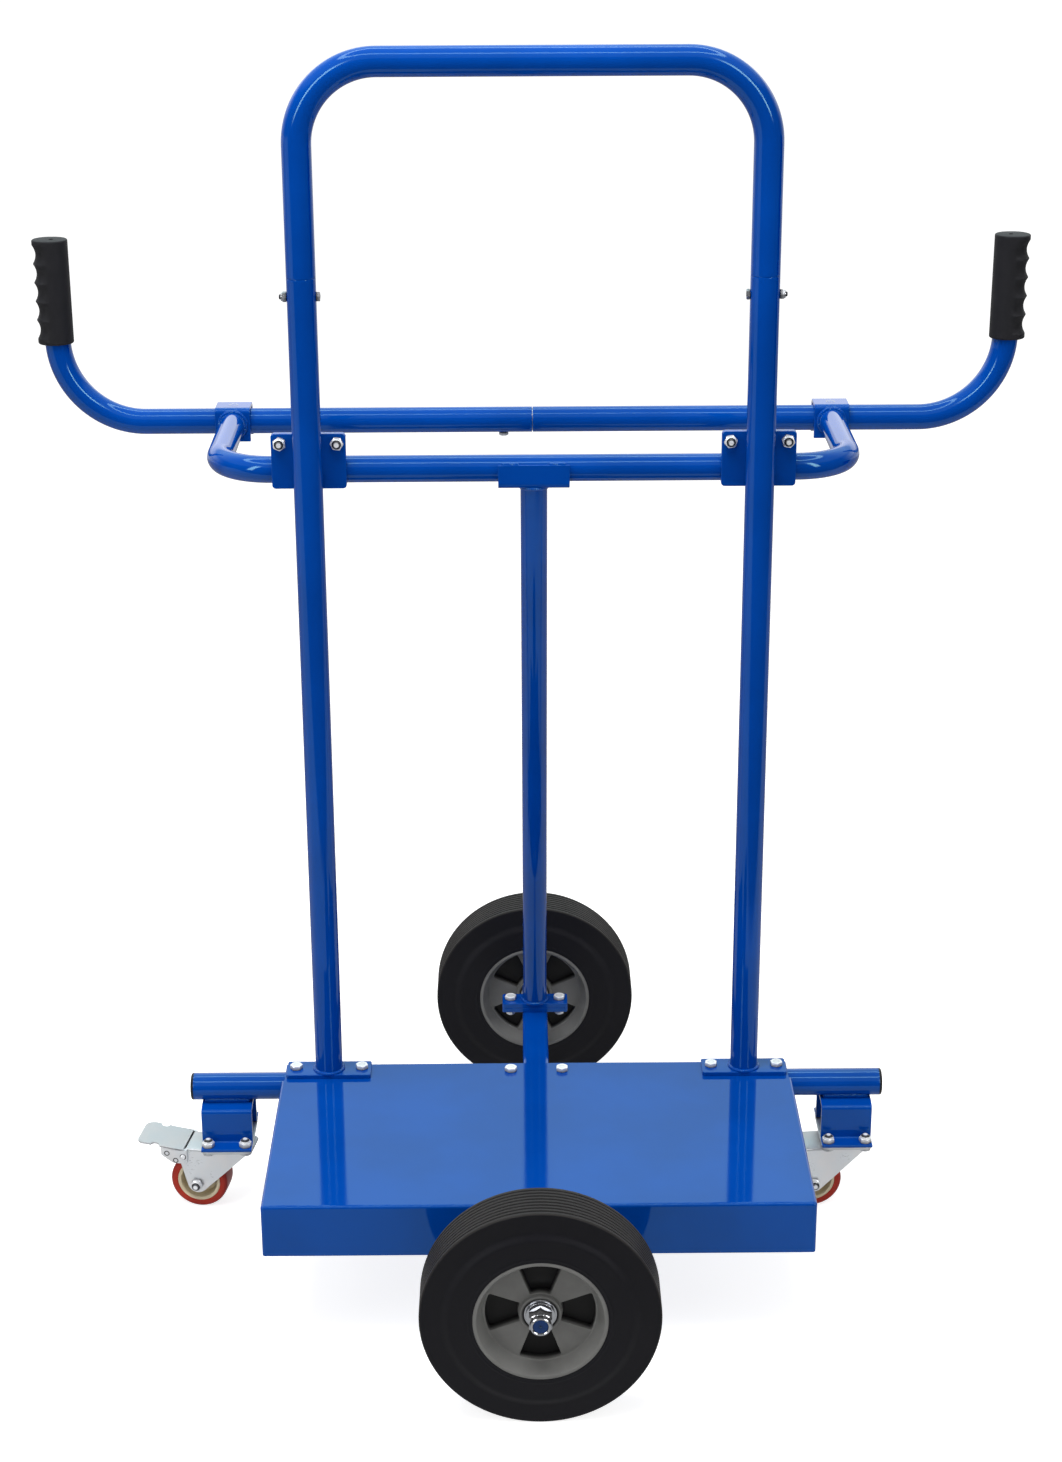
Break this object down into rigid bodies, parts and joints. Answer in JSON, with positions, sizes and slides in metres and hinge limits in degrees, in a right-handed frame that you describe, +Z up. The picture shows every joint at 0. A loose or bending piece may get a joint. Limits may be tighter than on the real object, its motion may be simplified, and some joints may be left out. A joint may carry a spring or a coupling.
{
  "type": "door dolly",
  "caption": "Tube-framed door dolly with a low deck, tall hoop mast, wide gripped handle, large road wheels and braked swivel casters.",
  "frame": {"origin": "on the floor, under the middle of the axle", "axes": "+Z up, +Y along the axle from the front wheel to the rear wheel and the handle, +X along the way it rolls"},
  "size_m": [1.1554, 0.8206, 1.3682],
  "materials": {
    "blue_paint": "gloss blue powder coat on steel",
    "zinc": "bright zinc plate",
    "tyre_rubber": "black solid rubber",
    "rim_grey": "mid-grey moulded plastic",
    "rim_black": "black moulded plastic",
    "cap_black": "black moulded plastic",
    "grip_rubber": "matt black rubber",
    "tread_red": "red-orange polyurethane",
    "hub_cream": "cream moulded plastic"
  },
  "bodies": {
    "frame": {"axle_shaft": "zinc", "axle_washers": "zinc", "axle_nuts": "zinc", "spine_tube": "blue_paint", "spine_plugs": "zinc", "cross_tube": "blue_paint", "cross_tube_caps": "cap_black", "deck_tray": "blue_paint", "left_upright": "blue_paint", "right_upright": "blue_paint", "left_handle_bar": "blue_paint", "right_handle_bar": "blue_paint", "left_grip": "grip_rubber", "right_grip": "grip_rubber", "upright_foot_plates": "blue_paint", "top_hoop": "blue_paint", "hoop_bolts": "zinc", "hoop_nuts": "zinc", "upright_plates": "blue_paint", "rail_plates": "blue_paint", "guard_rail": "blue_paint", "handle_saddles": "blue_paint", "saddle_screws": "zinc", "handle_joint_sleeve": "blue_paint", "handle_joint_screw": "zinc", "rear_post": "blue_paint", "post_cradle": "blue_paint", "post_foot_plate": "blue_paint", "spine_lug_plate": "blue_paint", "caster_brackets": "blue_paint", "caster_plates": "zinc", "caster_kingpins": "zinc", "cross_tube_bolts": "zinc", "rail_bolts": "zinc", "post_bolts": "zinc", "caster_bolts": "zinc", "m8_nuts": "zinc"},
    "front_wheel": {"front_tyre": "tyre_rubber", "front_rim_shells": "rim_grey", "front_rim_core": "rim_black", "front_hub_bearings": "zinc"},
    "rear_wheel": {"rear_tyre": "tyre_rubber", "rear_rim_shells": "rim_grey", "rear_rim_core": "rim_black", "rear_hub_bearings": "zinc"},
    "left_caster": {"left_caster_fork": "zinc", "left_caster_axle": "zinc"},
    "left_caster_wheel": {"left_caster_tread": "tread_red", "left_caster_hub": "hub_cream"},
    "left_brake": {"left_brake_pedal": "zinc", "left_brake_pins": "zinc"},
    "right_caster": {"right_caster_fork": "zinc", "right_caster_axle": "zinc"},
    "right_caster_wheel": {"right_caster_tread": "tread_red", "right_caster_hub": "hub_cream"},
    "right_brake": {"right_brake_pedal": "zinc", "right_brake_pins": "zinc"}
  },
  "joints": [
    {"name": "front_wheel_spin", "type": "hinge", "parent": "frame", "child": "front_wheel", "pos_m": [0, -0.37, 0.127], "axis": [0, 1, 0], "continuous": true},
    {"name": "rear_wheel_spin", "type": "hinge", "parent": "frame", "child": "rear_wheel", "pos_m": [0, 0.37, 0.127], "axis": [0, 1, 0], "continuous": true},
    {"name": "left_caster_swivel", "type": "hinge", "parent": "frame", "child": "left_caster", "pos_m": [-0.369, 0.052, 0.082], "axis": [0, 0, 1], "continuous": true},
    {"name": "left_caster_roll", "type": "hinge", "parent": "left_caster", "child": "left_caster_wheel", "pos_m": [-0.40604, 0.05787, 0.035], "axis": [0.1564, 0.9877, 0], "continuous": true},
    {"name": "left_brake_press", "type": "hinge", "parent": "left_caster", "child": "left_brake", "pos_m": [-0.42135, 0.06029, 0.072], "axis": [0.1564, 0.9877, 0], "range_deg": [-12, 0]},
    {"name": "right_caster_swivel", "type": "hinge", "parent": "frame", "child": "right_caster", "pos_m": [0.369, 0.052, 0.082], "axis": [0, 0, 1], "continuous": true},
    {"name": "right_caster_roll", "type": "hinge", "parent": "right_caster", "child": "right_caster_wheel", "pos_m": [0.33164, 0.04873, 0.035], "axis": [-0.0872, 0.9962, 0], "continuous": true},
    {"name": "right_brake_press", "type": "hinge", "parent": "right_caster", "child": "right_brake", "pos_m": [0.3162, 0.04738, 0.072], "axis": [-0.0872, 0.9962, 0], "range_deg": [-12, 0]}
  ]
}
